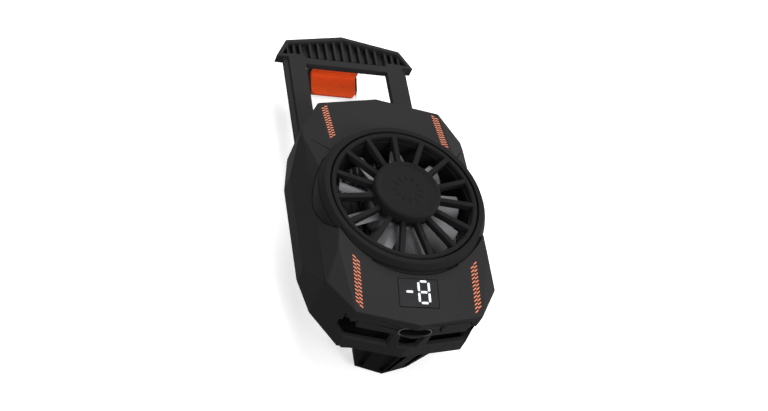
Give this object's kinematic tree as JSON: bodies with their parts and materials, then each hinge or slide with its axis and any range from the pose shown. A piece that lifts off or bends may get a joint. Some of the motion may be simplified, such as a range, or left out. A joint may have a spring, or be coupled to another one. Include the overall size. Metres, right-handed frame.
{
  "type": "phone cooling fan",
  "caption": "Clamp-on phone cooler: faceted black body with a guarded fan, digital readout, cold plate and a sliding jaw with an orange pad.",
  "frame": {"origin": "centre of the cold plate's face, on the fan's axis", "axes": "+Z out of the fan's face, +Y towards the sliding jaw, +X to the right seen from the front"},
  "size_m": [0.0494, 0.1081, 0.0394],
  "materials": {
    "housing_plastic": "fine spark-eroded texture",
    "cover_plastic": "fine texture",
    "fan_plastic": "satin",
    "smoke_plastic": "smoky, glossy",
    "orange_rubber": "soft matte",
    "aluminium": "extruded and milled",
    "steel": "drawn",
    "brass": "sintered",
    "magnet": "bonded ferrite",
    "copper": "enamelled wire",
    "ceramic": "fired, matte",
    "foam": "closed cell",
    "board": "solder mask",
    "window_plastic": "smooth",
    "light_plastic": "lit",
    "insulator": "moulded"
  },
  "bodies": {
    "base": {"front_shell": "housing_plastic", "rear_cover": "cover_plastic", "bezel_ring": "fan_plastic", "fan_guard": "fan_plastic", "hub_cap": "fan_plastic", "bearing_sleeve": "brass", "stator_core": "steel", "stator_coils": "copper", "motor_board": "board", "heatsink": "aluminium", "peltier_module": "ceramic", "foam_gasket": "foam", "cold_plate": "aluminium", "control_board": "board", "usb_shell": "steel", "usb_tongue": "insulator", "display_module": "insulator", "display_window": "window_plastic", "display_segments": "light_plastic", "tact_switch": "steel", "lower_pad": "orange_rubber", "case_screws": "steel"},
    "rotor": {"impeller": "smoke_plastic", "magnet_ring": "magnet", "rotor_shaft": "steel"},
    "jaw": {"clamp_frame": "housing_plastic", "jaw_pad": "orange_rubber"},
    "button": {"power_button": "housing_plastic"}
  },
  "joints": [
    {"name": "fan_spin", "type": "hinge", "parent": "base", "child": "rotor", "pos_m": [0, 0, 0.018], "axis": [0, 0, 1], "continuous": true},
    {"name": "jaw_slide", "type": "slide", "parent": "base", "child": "jaw", "axis": [0, 1, 0], "range_m": [-0.03, 0.0025]},
    {"name": "button_press", "type": "slide", "parent": "base", "child": "button", "axis": [-0.1682, 0.9857, 0], "range_m": [0, 0.0004], "stiffness_N_per_m": 600, "springref_m": -0.0008}
  ]
}
